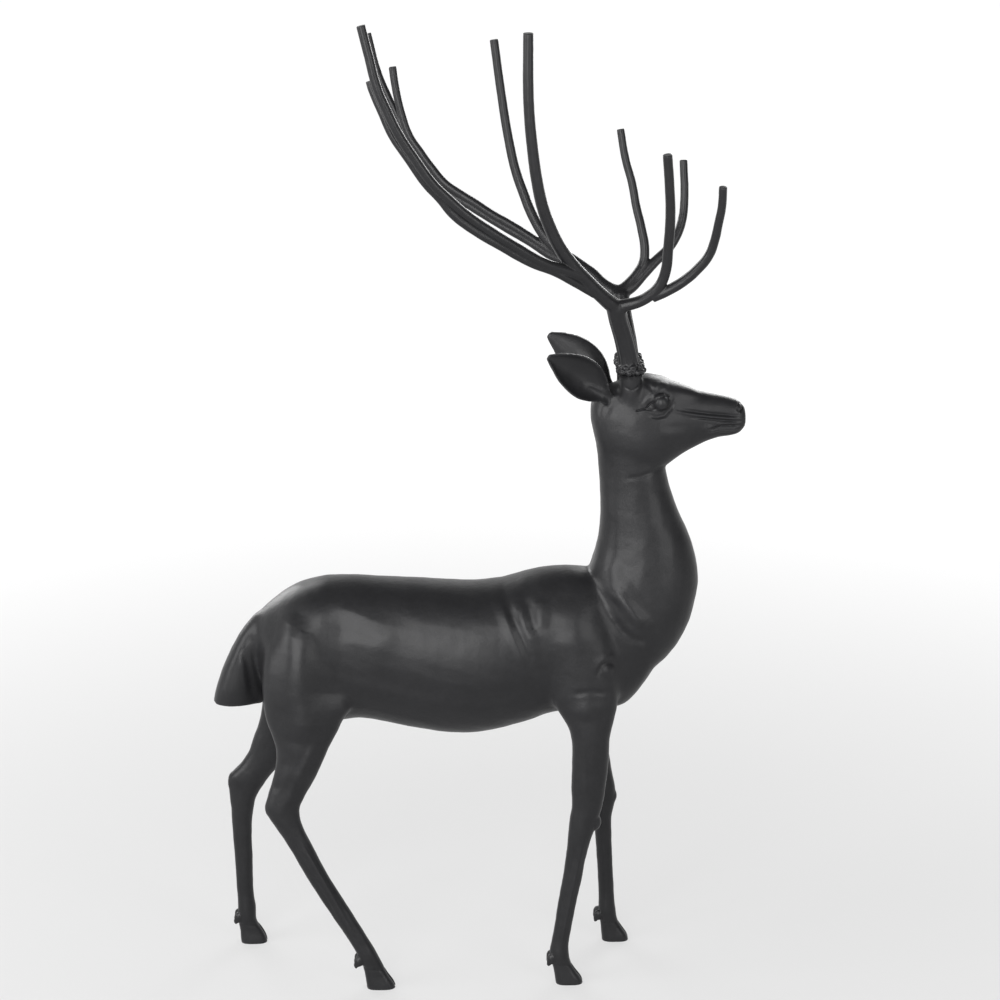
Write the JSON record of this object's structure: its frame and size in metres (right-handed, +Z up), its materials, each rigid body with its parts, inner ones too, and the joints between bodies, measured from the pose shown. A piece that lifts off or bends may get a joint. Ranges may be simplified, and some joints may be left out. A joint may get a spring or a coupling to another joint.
{
  "type": "deer sculpture",
  "caption": "Standing stag sculpture in satin black cast metal, one leg forward in mid stride, with upswept branching antlers seated on beaded burrs.",
  "frame": {"origin": "on the ground under the middle of the whole figure's bounding box, level with the four soles", "axes": "+Z up, the figure's tallest direction; +X the way the stag faces; +Y towards its left side, the figure's narrowest direction"},
  "size_m": [0.653, 0.3616, 1.2157],
  "materials": {
    "black_lacquer_body": "satin black lacquer over a hollow metal casting",
    "black_lacquer_antler_right": "satin black lacquer over a solid metal casting",
    "black_lacquer_antler_left": "satin black lacquer over a solid metal casting"
  },
  "bodies": {
    "root": {"body": "black_lacquer_body", "antler_right": "black_lacquer_antler_right", "antler_left": "black_lacquer_antler_left"}
  },
  "joints": []
}
